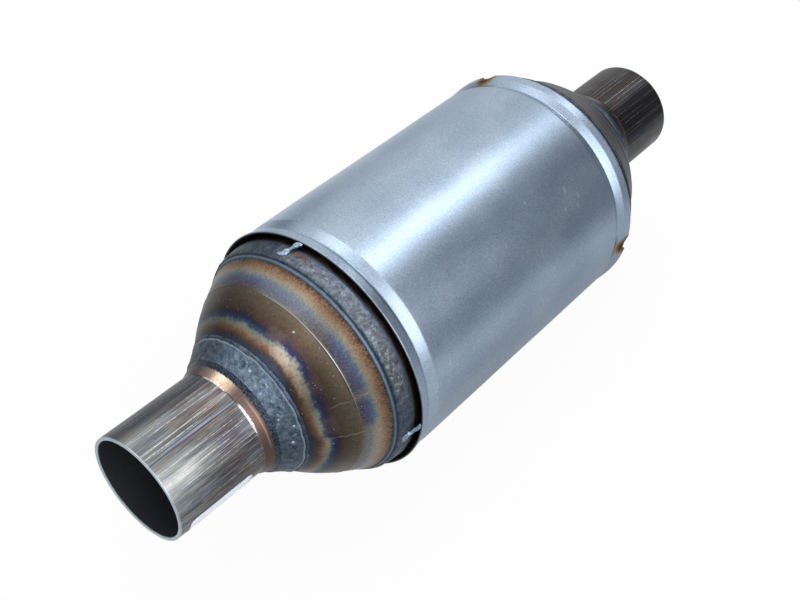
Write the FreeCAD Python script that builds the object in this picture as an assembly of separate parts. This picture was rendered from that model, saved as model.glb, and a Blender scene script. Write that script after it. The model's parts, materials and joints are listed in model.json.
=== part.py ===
"""Weld-in catalytic converter: two domed end cones on a round can, with a heat shield round it.

The exhaust gas runs along X: in through the pipe at the low end of X, out at the high end.
Z is up.  The origin is the middle of the overall length, on the axis.  All sizes are in mm.

One end is drawn as a section in (h, r): h is the distance from the middle of the can, r the
radius.  Both ends use the same sections; only their pipes differ in length.  Round stretches
of a section are short chords of one arc, so that every turned face is a cone or a cylinder.
"""
import FreeCAD, Part
import math
import os

# ---------------------------------------------------------------- driving dimensions
# pipes
pipe_diameter = 50.0
pipe_wall = 1.5
inlet_stub = 44.4              # straight pipe ahead of the flare
outlet_stub = 36.0
flare_angle = 24.0             # half angle of the flared pipe end that lands on the cone
flare_lead = 7.9               # the flare starts this far ahead of the cone's throat

# catalyst brick and the mat round it
brick_diameter = 101.6
brick_length = 127.0
brick_skin = 1.6
cell_pitch = 7.6
cell_wall = 1.0
mat_thickness = 4.9
mat_setback = 11.0             # the mat ends this far short of the brick's faces
mat_joint_gap = 0.6
mat_tongue = 24.0

# can, rolled to fit the mat
can_wall = 1.5
can_length = 179.2
can_seam_gap = 1.0             # slit between the rolled edges, filled by the seam weld
can_seam_width = 4.5
can_seam_height = 0.2
can_seam_angle = 200.0         # off the top, towards -Y

# end cones
cone_wall = 1.5
cone_clearance = 0.1           # slip fit of the skirt in the can
skirt_length = 10.0
shoulder_gap = 0.4             # skirt left showing ahead of the can's edge
shoulder_angle = 29.0          # half angle of the outer, conical zone
shoulder_length = 13.7         # axial, from the skirt's corner to the crease
throat_margin = 0.2            # the hole under the flare is this much larger in radius than the pipe
throat_setback = 25.6          # axial length of the bowl, crease to throat
bowl_bulge = 1.5               # how far the bowl stands out from a straight cone
bowl_chords = 3

# weld beads
pipe_weld_on_flare = 3.4       # axial reach of the bead from the landing, up the flare
pipe_weld_on_bowl = 6.2        # and down the bowl
pipe_weld_crown = 0.7
can_weld_on_shoulder = 2.4     # reach on the shoulder, ahead of the skirt's corner
can_weld_on_can = 6.6          # reach on the can, behind its edge
can_weld_height = 0.35         # crown above the can
can_weld_ridge = 0.7           # raised front toe
can_weld_ridge_width = 1.9
can_weld_seat_gap = 0.02       # hairline left between the bead and the can

# heat shield, one rolled sheet
shield_sheet = 0.8
shield_setback = 9.0           # it ends this far short of the can's edges
shield_clearance = 1.7         # inside of its barrel above the can
groove_seat_gap = 0.3          # inside of its grooves above the can
groove_from_end = 9.2
groove_inner_flank = 3.4
groove_outer_flank = 4.6
lip_start_rise = 0.5           # above the barrel
lip_end_rise = 0.8
lap_angle = 12.0               # overlap of the seam
lap_joggle_angle = 4.0
lap_gap = 0.05
lap_position = 196.0           # off the top, towards -Y
stitch_length = 12.0
stitch_leg = 1.6
stitch_count = 4

# tack welds that hold the shield, as angles off the top, towards -Y
inlet_tack_angles = (-7.5, 97.5, 225.0)
outlet_tack_angles = (-29.0, 97.0, 214.0)
tack_foot = 2.5
tack_waist = 1.4
tack_head = 2.1
tack_reach = 3.6               # axial distance between the tack's foot and its head
tack_set_in = 0.1              # its top stays this far inside the lip's outer face
burn_radius = 4.2              # notch melted in the outlet lip at each tack
burn_depth = 2.8

# ---------------------------------------------------------------- derived sizes
pipe_r = pipe_diameter / 2
brick_r = brick_diameter / 2
can_bore_r = brick_r + mat_thickness
can_r = can_bore_r + can_wall
can_half = can_length / 2
skirt_r = can_bore_r - cone_clearance
skirt_end_h = can_half - skirt_length
corner_h = can_half + shoulder_gap
shoulder_slope = math.tan(math.radians(shoulder_angle))
crease_h = corner_h + shoulder_length
crease_r = skirt_r - shoulder_length * shoulder_slope
throat_h = crease_h + throat_setback
throat_r = pipe_r + throat_margin
flare_h = throat_h + flare_lead
flare_turn = math.radians(flare_angle)
shield_half = can_half - shield_setback
shield_r = can_r + shield_clearance + shield_sheet
groove_r = can_r + groove_seat_gap + shield_sheet
lip_r = shield_r + lip_end_rise
body_x = (inlet_stub - outlet_stub) / 2      # middle of the can, from the origin


# ---------------------------------------------------------------- sections, as (h, r) points
def chords(start, end, bulge, count):
    """Points from start to end along the arc that stands out by bulge, count chords in all."""
    span = math.dist(start, end)
    radius = span**2 / (8 * bulge) + bulge / 2
    half_turn = math.asin(span / 2 / radius)
    along = ((end[0] - start[0]) / span, (end[1] - start[1]) / span)
    out = (-along[1], along[0])
    if out[1] < 0:
        out = (-out[0], -out[1])
    points = []
    for i in range(count + 1):
        turn = half_turn * (2 * i / count - 1)
        forward = span / 2 + radius * math.sin(turn)
        rise = radius * (math.cos(turn) - math.cos(half_turn))
        points.append((start[0] + along[0] * forward + out[0] * rise,
                       start[1] + along[1] * forward + out[1] * rise))
    return points


def inside_face(outer, thickness):
    """The same run of points, one sheet thickness further in, with mitred corners."""
    normals = []
    for (h0, r0), (h1, r1) in zip(outer, outer[1:]):
        length = math.dist((h0, r0), (h1, r1))
        normals.append(((r1 - r0) / length, (h0 - h1) / length))
    inner = []
    for i, (h, r) in enumerate(outer):
        before = normals[max(i - 1, 0)]
        after = normals[min(i, len(normals) - 1)]
        miter = (before[0] + after[0], before[1] + after[1])
        reach = thickness / ((miter[0] ** 2 + miter[1] ** 2) / 2)
        inner.append((h + miter[0] * reach, r + miter[1] * reach))
    return inner


def radius_at(h, points):
    """Radius of a run of points, listed by rising h, at the distance h."""
    for (h0, r0), (h1, r1) in zip(points, points[1:]):
        if h <= h1:
            break
    return r0 + (r1 - r0) * (h - h0) / (h1 - h0)


def crossing(low, high, gap):
    """Distance h between low and high at which gap(h), positive at low, comes to nothing."""
    for _ in range(60):
        h = (low + high) / 2
        if gap(h) > 0:
            low = h
        else:
            high = h
    return low


bowl = chords((crease_h, crease_r), (throat_h, throat_r), bowl_bulge, bowl_chords)


def flare_r(h, base_r):
    """Radius at h of a face of the flare whose straight stretch has the radius base_r.

    The bend is mitred, so the inner face starts half a bend further in than the outer one.
    """
    bend_h = flare_h - (pipe_r - base_r) * math.tan(flare_turn / 2)
    return base_r + (bend_h - h) * math.tan(flare_turn)


# The inner edge of the flare lands on the bowl, and the flare's end is cut square to it.
landing_h = crossing(crease_h, throat_h, lambda h: radius_at(h, bowl) - flare_r(h, pipe_r - pipe_wall))
landing = (landing_h, radius_at(landing_h, bowl))
flare_end = (landing[0] + pipe_wall * math.sin(flare_turn), landing[1] + pipe_wall * math.cos(flare_turn))


# ---------------------------------------------------------------- solids from sections
def polygon(points):
    corners = [FreeCAD.Vector(h, 0, r) for h, r in points]
    return Part.Face(Part.makePolygon(corners + corners[:1]))


def turn_to(shape, angle):
    placed = shape.copy()
    placed.rotate(FreeCAD.Vector(0, 0, 0), FreeCAD.Vector(1, 0, 0), angle)
    return placed


def turned(section, start=0.0, sweep=360.0):
    """Section turned about the axis, from an angle off the top towards -Y."""
    return turn_to(section, start).revolve(FreeCAD.Vector(0, 0, 0), FreeCAD.Vector(1, 0, 0), sweep)


def ring(inner_r, outer_r, half_length):
    outline = [(-half_length, inner_r), (half_length, inner_r)]
    outline += [(half_length, outer_r), (-half_length, outer_r)]
    return turned(polygon(outline))


def outlet_end(shape):
    """Carry a piece, drawn from the middle of the can, to the outlet end."""
    return shape.translated(FreeCAD.Vector(body_x, 0, 0))


def inlet_end(shape):
    """Mirror a piece, drawn from the middle of the can, to the inlet end."""
    mirrored = shape.mirror(FreeCAD.Vector(0, 0, 0), FreeCAD.Vector(1, 0, 0))
    return mirrored.translated(FreeCAD.Vector(body_x, 0, 0))


# ---------------------------------------------------------------- pipes, cones and their welds
def pipe(stub):
    """Straight tube whose inner end is flared and lands on the cone's bowl."""
    outer = [flare_end, (flare_h, pipe_r), (flare_h + stub, pipe_r)]
    return turned(polygon(outer + inside_face(outer, pipe_wall)[::-1]))


def cone():
    """Drawn end cap: skirt, conical shoulder, crease, then a bowl down to the throat."""
    outer = [(skirt_end_h, skirt_r), (corner_h, skirt_r)] + bowl
    return turned(polygon(outer + inside_face(outer, cone_wall)[::-1]))


def pipe_weld():
    """Bead in the corner between the flared pipe end and the bowl."""
    toe_h = landing[0] + pipe_weld_on_flare
    toe = (toe_h, flare_r(toe_h, pipe_r))
    heel_h = landing[0] - pipe_weld_on_bowl
    heel = (heel_h, radius_at(heel_h, bowl))
    seat = [point for point in bowl if heel_h < point[0] < landing[0]]
    crown = chords(toe, heel, pipe_weld_crown, 2)
    return turned(polygon(crown + seat + [landing, flare_end]))


def can_weld():
    """Bead that closes the corner between the cone's shoulder and the can's edge."""
    toe = (corner_h + can_weld_on_shoulder, skirt_r - can_weld_on_shoulder * shoulder_slope)
    ridge_h = toe[0] - can_weld_ridge_width / 2
    ridge = (ridge_h, skirt_r - (ridge_h - corner_h) * shoulder_slope + can_weld_ridge)
    crown = (can_half - can_weld_on_can / 3, can_r + can_weld_height)
    seat_r = can_r + can_weld_seat_gap
    edge_h = can_half + can_weld_seat_gap
    heel = (can_half - can_weld_on_can, seat_r)
    seat = [(edge_h, seat_r), (edge_h, skirt_r), (corner_h, skirt_r)]
    return turned(polygon([toe, ridge, crown, heel] + seat))


# ---------------------------------------------------------------- can
def seam_bar(width, half_length):
    """Straight bar through the can's wall along the seam."""
    bar = Part.makeBox(2 * half_length, width, 3 * can_wall)
    bar.translate(FreeCAD.Vector(-half_length, -width / 2, can_r - 2 * can_wall))
    return turn_to(bar, can_seam_angle)


def can():
    """Sheet rolled to a tube, with a slit at the seam."""
    return ring(can_bore_r, can_r, can_half).cut(seam_bar(can_seam_gap, can_half))


def can_seam_weld():
    """Bead that fills the slit and stands a little proud, between the two end beads."""
    half_length = can_half - can_weld_on_can
    fill = ring(can_bore_r, can_r, half_length).common(seam_bar(can_seam_gap, half_length))
    cap = ring(can_r, can_r + can_seam_height, half_length)
    return fill.fuse(cap.common(seam_bar(can_seam_width, half_length))).removeSplitter()


# ---------------------------------------------------------------- heat shield
def shield_section(lift):
    """Sheet section, rim to rim: a groove near each end that sits on the can, then a lip."""
    groove_h = shield_half - groove_from_end
    outer_half = [
        (groove_h - groove_inner_flank, shield_r + lift),
        (groove_h, groove_r + lift),
        (groove_h + groove_outer_flank, shield_r + lip_start_rise + lift),
        (shield_half, lip_r + lift),
    ]
    outer = [(-h, r) for h, r in reversed(outer_half)] + outer_half
    inner = [(h, r - shield_sheet) for h, r in reversed(outer)]
    return polygon(outer + inner)


def lapped_sheet():
    """The sheet goes once round, steps up by its own thickness and laps over its start."""
    lift = shield_sheet + lap_gap
    flat_sweep = 360.0 - lap_joggle_angle
    sheet = turned(shield_section(0.0), lap_position, flat_sweep)
    step_start = turn_to(shield_section(0.0), lap_position + flat_sweep).OuterWire
    step_end = turn_to(shield_section(lift), lap_position).OuterWire
    joggle = Part.makeLoft([step_start, step_end], True, True)
    lap = turned(shield_section(lift), lap_position, lap_angle)
    return sheet.fuse([joggle, lap]).removeSplitter()


def burn_notch(angle):
    """Round bite that a tack melted in the outlet lip."""
    centre = FreeCAD.Vector(shield_half + burn_radius - burn_depth, 0, can_r + can_weld_height)
    height = shield_r - can_r + 3 * shield_sheet
    return turn_to(Part.makeCylinder(burn_radius, height, centre), angle)


def heat_shield():
    """Finished shield, with its notches, in the frame of the whole converter."""
    sheet = lapped_sheet()
    for angle in outlet_tack_angles:
        sheet = sheet.cut(burn_notch(angle))
    return outlet_end(sheet)


def shield_stitches():
    """Short fillet beads in the corner along the free edge of the lap."""
    edge_angle = lap_position + lap_angle
    leg_angle = math.degrees(stitch_leg / shield_r)
    pitch = 2 * shield_half / (stitch_count + 1)
    beads = []
    for i in range(stitch_count):
        h0 = (i + 1) * pitch - shield_half - stitch_length / 2
        h1 = h0 + stitch_length
        sides = []
        for rise, angle in ((lap_gap + shield_sheet, edge_angle), (lap_gap, edge_angle + leg_angle)):
            outline = [(h0, shield_r), (h1, shield_r), (h1, shield_r + rise), (h0, shield_r + rise)]
            sides.append(turn_to(polygon(outline), angle).OuterWire)
        bead = Part.makeLoft(sides, True, True)
        beads.append(bead.cut(ring(can_r, shield_r, shield_half)))
    return outlet_end(Part.Compound(beads))


# ---------------------------------------------------------------- tack welds
def tack_blank(angle, head_h):
    """Sloping web of weld metal from the can up to the shield's lip, before it is fitted.

    From outside it is an hourglass; from the side it falls from the lip's edge to the can.
    """
    low_r = can_r - can_wall / 2
    foot_h = head_h + tack_reach
    toe_h = foot_h + tack_foot
    root_h = head_h - shield_sheet
    slope = [(toe_h, low_r), (head_h, lip_r - tack_set_in), (root_h, lip_r - shield_sheet / 2)]
    underside = [(root_h, lip_r - 2 * shield_sheet), (head_h + tack_waist, low_r)]
    web = polygon(slope + underside).extrude(FreeCAD.Vector(0, 2 * tack_foot, 0))
    widths = [(toe_h, tack_waist), (foot_h, tack_foot), ((foot_h + head_h) / 2, tack_waist), (root_h, tack_head)]
    left = [FreeCAD.Vector(h, half, low_r) for h, half in widths]
    right = [FreeCAD.Vector(h, -half, low_r) for h, half in reversed(widths)]
    plan = Part.Face(Part.makePolygon(left + right + left[:1])).extrude(FreeCAD.Vector(0, 0, lip_r - low_r))
    return turn_to(web.translated(FreeCAD.Vector(0, -tack_foot, 0)).common(plan), angle)


def fitted_tack(blank, neighbours):
    """Cut the blank back to what it is welded to, and keep its one main lump."""
    tack = blank
    for neighbour in neighbours:
        tack = tack.cut(neighbour)
    return max(tack.Solids, key=lambda solid: solid.Volume)


# ---------------------------------------------------------------- catalyst brick and mat
def square(y, z, half):
    ends = [(y - half, z - half), (y + half, z - half), (y + half, z + half), (y - half, z + half)]
    corners = [FreeCAD.Vector(-brick_length / 2, across, up) for across, up in ends]
    return Part.makePolygon(corners + corners[:1])


def brick():
    """Extruded honeycomb: square channels in a round brick, with a wall on the axis."""
    along = FreeCAD.Vector(1, 0, 0)
    rim = Part.Wire(Part.makeCircle(brick_r, along * (-brick_length / 2), along))
    half_cell = (cell_pitch - cell_wall) / 2
    open_r = brick_r - brick_skin
    reach = math.ceil(open_r / cell_pitch)
    middles = [(i + 0.5) * cell_pitch for i in range(-reach, reach)]
    cells = [
        square(y, z, half_cell)
        for y in middles
        for z in middles
        if math.hypot(abs(y) + half_cell, abs(z) + half_cell) < open_r
    ]
    section = Part.makeFace([rim] + cells, "Part::FaceMakerBullseye")
    return section.extrude(along * brick_length)


def support_mat():
    """Fibre mat wrapped round the brick; its ends meet in a tongue-and-groove joint."""
    mat_half = brick_length / 2 - mat_setback
    third = mat_half * 2 / 3
    gap = mat_joint_gap
    across = mat_tongue + gap
    low_r = brick_r - gap
    depth = can_bore_r - low_r
    runs = [(-1.5 * third, third, -1), (-0.5 * third, third, 1), (0.5 * third, third, -1)]
    mat = ring(brick_r, can_bore_r, mat_half)
    for start, length, side in runs:
        corner = FreeCAD.Vector(start, side * mat_tongue / 2 - gap / 2, low_r)
        mat = mat.cut(Part.makeBox(length, gap, depth, corner))
    for h in (-third / 2, third / 2):
        mat = mat.cut(Part.makeBox(gap, across, depth, FreeCAD.Vector(h - gap / 2, -across / 2, low_r)))
    return mat


# ---------------------------------------------------------------- all nodes
def build():
    nodes = {
        "inlet_pipe": inlet_end(pipe(inlet_stub)),
        "outlet_pipe": outlet_end(pipe(outlet_stub)),
        "inlet_cone": inlet_end(cone()),
        "outlet_cone": outlet_end(cone()),
        "inlet_pipe_weld": inlet_end(pipe_weld()),
        "outlet_pipe_weld": outlet_end(pipe_weld()),
        "inlet_can_weld": inlet_end(can_weld()),
        "outlet_can_weld": outlet_end(can_weld()),
        "can": outlet_end(can()),
        "can_seam_weld": outlet_end(can_seam_weld()),
        "heat_shield": heat_shield(),
        "shield_stitch_welds": shield_stitches(),
        "catalyst_brick": outlet_end(brick()),
        "support_mat": outlet_end(support_mat()),
    }
    ends = (
        ("inlet", inlet_end, inlet_tack_angles, shield_half),
        ("outlet", outlet_end, outlet_tack_angles, shield_half - burn_depth),
    )
    for side, carry, angles, head_h in ends:
        neighbours = [nodes["can"], nodes[side + "_can_weld"], nodes["heat_shield"]]
        for number, angle in enumerate(angles, 1):
            blank = carry(tack_blank(angle, head_h))
            nodes[f"{side}_shield_tack_{number}"] = fitted_tack(blank, neighbours)
    return nodes


os.makedirs("parts", exist_ok=True)
for node, shape in build().items():
    shape.exportStep(f"parts/{node}.step")
    print(f"{node:24s} {len(shape.Solids)} solid  valid {shape.isValid()}  {shape.Volume:10.1f} mm3")
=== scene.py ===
"""Looks of a weld-in catalytic converter: pipes, cones, beads, heat shield, tacks and honeycomb."""
import itertools
import json
import math
from functools import reduce

import bpy
import numpy as np
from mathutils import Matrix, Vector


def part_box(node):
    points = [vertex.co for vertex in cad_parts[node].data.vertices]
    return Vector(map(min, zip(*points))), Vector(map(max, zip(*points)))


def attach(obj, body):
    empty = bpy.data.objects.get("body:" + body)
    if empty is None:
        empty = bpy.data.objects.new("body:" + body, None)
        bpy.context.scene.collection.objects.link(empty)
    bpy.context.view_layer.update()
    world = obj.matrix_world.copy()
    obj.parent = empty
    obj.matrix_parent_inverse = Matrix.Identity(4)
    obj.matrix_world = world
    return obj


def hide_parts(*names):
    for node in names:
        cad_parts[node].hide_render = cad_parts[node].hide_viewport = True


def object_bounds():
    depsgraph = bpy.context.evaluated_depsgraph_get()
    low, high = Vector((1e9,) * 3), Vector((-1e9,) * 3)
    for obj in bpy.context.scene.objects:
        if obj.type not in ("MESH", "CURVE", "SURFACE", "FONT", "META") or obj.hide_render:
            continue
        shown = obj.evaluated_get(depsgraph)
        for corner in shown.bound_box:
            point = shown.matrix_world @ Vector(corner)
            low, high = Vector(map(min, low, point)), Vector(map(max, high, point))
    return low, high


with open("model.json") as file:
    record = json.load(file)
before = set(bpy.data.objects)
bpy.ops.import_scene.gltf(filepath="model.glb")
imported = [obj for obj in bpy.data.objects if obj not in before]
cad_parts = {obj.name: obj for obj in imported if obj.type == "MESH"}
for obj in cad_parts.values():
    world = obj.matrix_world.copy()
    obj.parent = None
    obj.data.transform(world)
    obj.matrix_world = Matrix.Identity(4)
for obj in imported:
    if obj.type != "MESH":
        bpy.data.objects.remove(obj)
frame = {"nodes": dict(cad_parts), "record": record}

cad_low, cad_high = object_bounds()

# ---------------------------------------------------------------- sizes, in millimetres
# A place on the converter is (h, r, angle): h is the distance from the middle of the can towards
# either end, r the radius, and the angle is counted off the top towards -Y.
METRE = 1000.0


def reach(node):
    """Lowest h, highest h and largest radius of a node."""
    low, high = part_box(node)
    ends = sorted((abs(low.x * METRE - body_x), abs(high.x * METRE - body_x)))
    return ends[0], ends[1], max(high.y, high.z) * METRE


can_low, can_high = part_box("can")
body_x = (can_low.x + can_high.x) / 2 * METRE
can_half, can_r = (can_high.x - can_low.x) / 2 * METRE, can_high.z * METRE
shield_half, lip_r = reach("heat_shield")[1:]
brick_low, brick_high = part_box("catalyst_brick")
brick_half = (brick_high.x - brick_low.x) / 2 * METRE
skirt_end, throat_end, skirt_r = reach("inlet_cone")
mounts = {mount["name"]: mount for mount in frame["record"]["mounts"]}
pipe_r = mounts["inlet_spigot"]["dims"]["r_mm"]
bore_r = mounts["inlet_bore"]["dims"]["r_mm"]
pipe_wall = pipe_r - bore_r
pipe_tip = reach("outlet_pipe")[1]


def pipe_run(side):
    """The h where a pipe's flare starts, and the h of its tip."""
    tip = reach(side + "_pipe")[1]
    return tip - mounts[side + "_spigot"]["dims"]["length_mm"], tip


SIDES = {"inlet": -1, "outlet": 1}
OUTLET_BEAD_SHORT = 2.4
CAN_DRAWN_IN = 1.3
FLARE_ANGLE = math.radians(24)
CONE_WALL = 1.5
CELL_PITCH = 1.27
SHOULDER_GAP = 0.4
SHOULDER_LENGTH = 13.7
SHOULDER_SLOPE = math.tan(math.radians(29))
BOWL_BULGE = 1.5
SHIELD_SHEET = 0.8
LIP_OPENS = 0.8
SHIELD_R = lip_r - LIP_OPENS
# how far the outermost two rows of either rim are rolled in
RIM_ROLL = (0.16, 0.04)
GROOVE_DEPTH = 1.4
LAP_POSITION = 196.0
LAP_ANGLE = 12.0
LAP_JOGGLE = 4.0
LAP_RISE = 0.85
TACK_ANGLES = {"inlet": (-7.5, 97.5, 225.0), "outlet": (-29.0, 97.0, 214.0)}
# an inlet tack's foot lies this many degrees further round than its head
TACK_SLANT = 5.5
# how far a tack's foot lies beyond the shield's rim
TACK_REACH = {"inlet": 8.4, "outlet": 3.4}
# the outlet rim is melted back round each tack
BURN_RADIUS = 4.2
BURN_DEPTH = 2.8
SEAM_ANGLE = 27.4
# the inlet end leans a little to +Y and up, from LEAN_FROM outwards, by LEAN (y, z) per mm
LEAN_FROM = 93.6
LEAN = (0.0215, -0.005)
# the outlet's bead, cone and pipe joint sit SETTLE mm nearer the shield, from SETTLE_FROM outwards
SETTLE = 2.0
SETTLE_FROM = 83.0
SETTLE_FADE = 38.0
SETTLE_RISE = 5.0
# points round a pipe, cone or pipe bead, and round a can bead
ROUND = {"inlet": 600, "outlet": 400}
ROUND_CAN = {"inlet": 860, "outlet": 520}

corner_h = can_half + SHOULDER_GAP
crease_h = corner_h + SHOULDER_LENGTH
crease_r = skirt_r - SHOULDER_LENGTH * SHOULDER_SLOPE
throat_r = pipe_r + 0.2


# ---------------------------------------------------------------- forms
def noise(points, size, seed):
    """Smooth lumps from -1 to 1, about size mm across.

    Each corner of a cubic lattice holds a random value; a point takes the eight round it,
    weighted by the product over the axes of s or 1 - s, with s = 3 f^2 - 2 f^3 of the fraction f.
    """
    count = 48
    table = np.random.default_rng(seed).uniform(-1, 1, (count,) * 3)
    cells = points / size
    low = np.floor(cells).astype(int)
    share = cells - low
    share = share * share * (3 - 2 * share)
    total = np.zeros(points.shape[:-1])
    for corner in itertools.product((0, 1), repeat=3):
        weight = np.prod(np.where(corner, share, 1 - share), axis=-1)
        i, j, k = np.moveaxis((low + corner) % count, -1, 0)
        total += weight * table[i, j, k]
    return total


def roughen(points, seed, *layers):
    """Sum of the noises of layers (height, size) in mm, each with the next seed."""
    return sum(height * noise(points, size, seed + i) for i, (height, size) in enumerate(layers))


def outline(corners, step, closed=True, arc_step=8.0):
    """Run of points through corners (h, r, fillet): straight stretches with tangent arcs between.

    An arc starts fillet * tan(turn / 2) ahead of its corner, and its points are the start turned
    about the arc's centre by even shares of the turn.  Stretches longer than step are divided.
    """
    corners = np.array(corners, float)
    spots, fillets = corners[:, :2], corners[:, 2]
    run = []
    for i, (spot, fillet) in enumerate(zip(spots, fillets)):
        before = spot - spots[i - 1]
        after = spots[(i + 1) % len(spots)] - spot
        before, after = before / np.hypot(*before), after / np.hypot(*after)
        turn = math.atan2(before[0] * after[1] - before[1] * after[0], before @ after)
        if fillet == 0 or (not closed and i in (0, len(spots) - 1)):
            run.append(spot[None])
            continue
        start = spot - before * fillet * abs(math.tan(turn / 2))
        out = np.array([-before[1], before[0]]) * math.copysign(fillet, turn)
        shares = np.linspace(0, turn, 2 + int(abs(math.degrees(turn)) / arc_step))
        cos, sin = np.cos(shares)[:, None], np.sin(shares)[:, None]
        swung = -out * cos + np.array([out[1], -out[0]]) * sin
        run.append(start + out + swung)
    points = np.concatenate(run)
    if closed:
        points = np.concatenate([points, points[:1]])
    filled = []
    for first, second in zip(points, points[1:]):
        parts = max(1, math.ceil(np.hypot(*(second - first)) / step))
        filled.append(first + (second - first) * (np.arange(parts) / parts)[:, None])
    if not closed:
        filled.append(points[-1:])
    return np.concatenate(filled)


def turned(section, around, lift=None):
    """Section (h, r) turned about the axis, as a grid (section, around) of (h, r, angle).

    lift(grid) gives how far each point moves along the section's outward normal, whose side
    comes from the sign of the area that the section encloses.
    """
    angles = np.linspace(-180, 180, around, endpoint=False)
    grid = np.empty((len(section), around, 3))
    grid[..., :2] = section[:, None]
    grid[..., 2] = angles
    if lift is not None:
        along = np.roll(section, -1, axis=0) - np.roll(section, 1, axis=0)
        normal = np.stack([along[:, 1], -along[:, 0]], axis=-1)
        normal /= np.hypot(*normal.T)[:, None]
        h, r = section.T
        normal *= math.copysign(1, np.sum(h * np.roll(r, -1) - np.roll(h, -1) * r))
        grid[..., :2] += lift(grid)[..., None] * normal[:, None]
    return grid


def in_space(grid, side=1):
    """Points (x, y, z) in mm of a grid of (h, r, angle): x = middle + side h, y = -r sin, z = r cos.

    The inlet side (-1) is moved by its lean too, and the outlet side is drawn in by its settling.
    """
    h, r, angle = grid[..., 0], grid[..., 1], np.radians(grid[..., 2])
    settled = np.clip((h - SETTLE_FROM) / SETTLE_RISE, 0, 1) * np.clip((pipe_tip - h) / SETTLE_FADE, 0, 1)
    h = h - SETTLE * settled * (side > 0)
    over = np.maximum(h - LEAN_FROM, 0) * (side < 0)
    y, z = over * LEAN[0] - r * np.sin(angle), over * LEAN[1] + r * np.cos(angle)
    return np.stack([body_x + side * h, y, z], axis=-1)


def thin_hidden(section, keep=4):
    """Section whose points past its lowest h, which lie under the bead, are left only every keep-th."""
    number = np.arange(len(section))
    return section[(number <= section[:, 0].argmin()) | (number % keep == 0)]


def grid_faces(rows, columns, wrap_rows, wrap_columns):
    """Corner numbers of the quads between neighbouring points of a grid."""
    i = np.arange(rows if wrap_rows else rows - 1)[:, None]
    j = np.arange(columns if wrap_columns else columns - 1)[None]
    i_next, j_next = (i + 1) % rows, (j + 1) % columns
    quad = [i * columns + j, i_next * columns + j, i_next * columns + j_next, i * columns + j_next]
    return np.stack([np.broadcast_to(q, (i.size, j.size)) for q in quad], axis=-1).reshape(-1, 4).tolist()


def put(name, data):
    """New object in the scene for a mesh, a lamp or a camera."""
    made = bpy.data.objects.new(name, data)
    bpy.context.scene.collection.objects.link(made)
    return made


def add_piece(name, points, faces, nodes, material):
    """Smooth mesh in metres from points in mm, turned right side out, riding on the part's body.

    The sign of the summed volume of the tetrahedra from the origin to each face tells its side.
    """
    mesh = bpy.data.meshes.new(name)
    mesh.from_pydata((points.reshape(-1, 3) / METRE).tolist(), [], faces)
    mesh.validate()
    mesh.calc_loop_triangles()
    corners = np.empty(len(mesh.loop_triangles) * 3, int)
    mesh.loop_triangles.foreach_get("vertices", corners)
    a, b, c = np.moveaxis(points.reshape(-1, 3)[corners.reshape(-1, 3)], 1, 0)
    if np.sum(a * np.cross(b, c)) < 0:
        mesh.flip_normals()
    mesh.polygons.foreach_set("use_smooth", np.ones(len(mesh.polygons), bool))
    mesh.materials.append(material)
    piece = put(name, mesh)
    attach(piece, "root")
    if nodes:
        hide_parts(*nodes)
    return piece


def add_turned(name, section, around, side, material, lift=None):
    """A closed section turned right round, standing for the node of the same name."""
    grid = turned(section, around, lift)
    faces = grid_faces(len(section), around, True, True)
    return add_piece(name + "_skin", in_space(grid, side), faces, [name], material)


# ---------------------------------------------------------------- shader maths
# A colour is a Wire, a linear (red, green, blue, 1), three display levels from 0 to 255, or a grey
# from 0 to 1.
class Wire:
    """One value in a material's nodes.  Arithmetic on it adds the Math nodes."""

    def __init__(self, tree, socket=None):
        """Holds the node tree and the output socket that carries the value."""
        self.tree = tree
        self.socket = socket

    def node(self, kind, settings, inputs, output=0):
        """Adds a node of a type, with its settings first, then values or links of its sockets."""
        made = self.tree.nodes.new("ShaderNode" + kind)
        for name, value in settings.items():
            if name == "stops":
                set_stops(made.color_ramp, value)
            else:
                setattr(made, name, value)
        for name, value in inputs.items():
            if isinstance(value, Wire):
                self.tree.links.new(value.socket, made.inputs[name])
            else:
                made.inputs[name].default_value = value
        return Wire(self.tree, made.outputs[output]) if made.outputs else None

    def math(self, operation, *values):
        """Adds a Math node."""
        return self.node("Math", {"operation": operation}, dict(enumerate(values)))

    def __add__(self, other):
        return self.math("ADD", self, other)

    __radd__ = __add__

    def __sub__(self, other):
        return self.math("SUBTRACT", self, other)

    def __rsub__(self, other):
        return self.math("SUBTRACT", other, self)

    def __mul__(self, other):
        return self.math("MULTIPLY", self, other)

    __rmul__ = __mul__

    def __truediv__(self, other):
        return self.math("DIVIDE", self, other)

    def __abs__(self):
        return self.math("ABSOLUTE", self)

    def most(self, other):
        """The larger of two values."""
        return self.math("MAXIMUM", self, other)

    def hypot(self, other):
        """Square root of the sum of two squares."""
        return self.math("SQRT", self * self + other * other)

    def split(self):
        """The three parts x, y and z of a vector."""
        return [self.node("SeparateXYZ", {}, {0: self}, output=i) for i in range(3)]

    def step(self, low, high):
        """Smooth rise from 0 at low to 1 at high, or fall where high is the smaller."""
        return self.node("MapRange", {"interpolation_type": "SMOOTHSTEP"}, {0: self, 1: low, 2: high})

    def window(self, low, high, soft):
        """1 between low and high, falling smoothly to 0 over soft on either side."""
        return self.step(low - soft, low) * (1 - self.step(high, high + soft))

    def band(self, middle, half, soft):
        """1 within half of middle, falling smoothly to 0 over soft on either side."""
        return 1 - abs(self - middle).step(half, half + soft)

    def ramp(self, *stops):
        """Colour from a ramp whose stops are (value, colour), in rising order."""
        low, high = stops[0][0], stops[-1][0]
        share = (self - low) / (high - low)
        spread = [((value - low) / (high - low), linear(colour)) for value, colour in stops]
        return self.node("ValToRGB", {"stops": spread}, {0: share})


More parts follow.
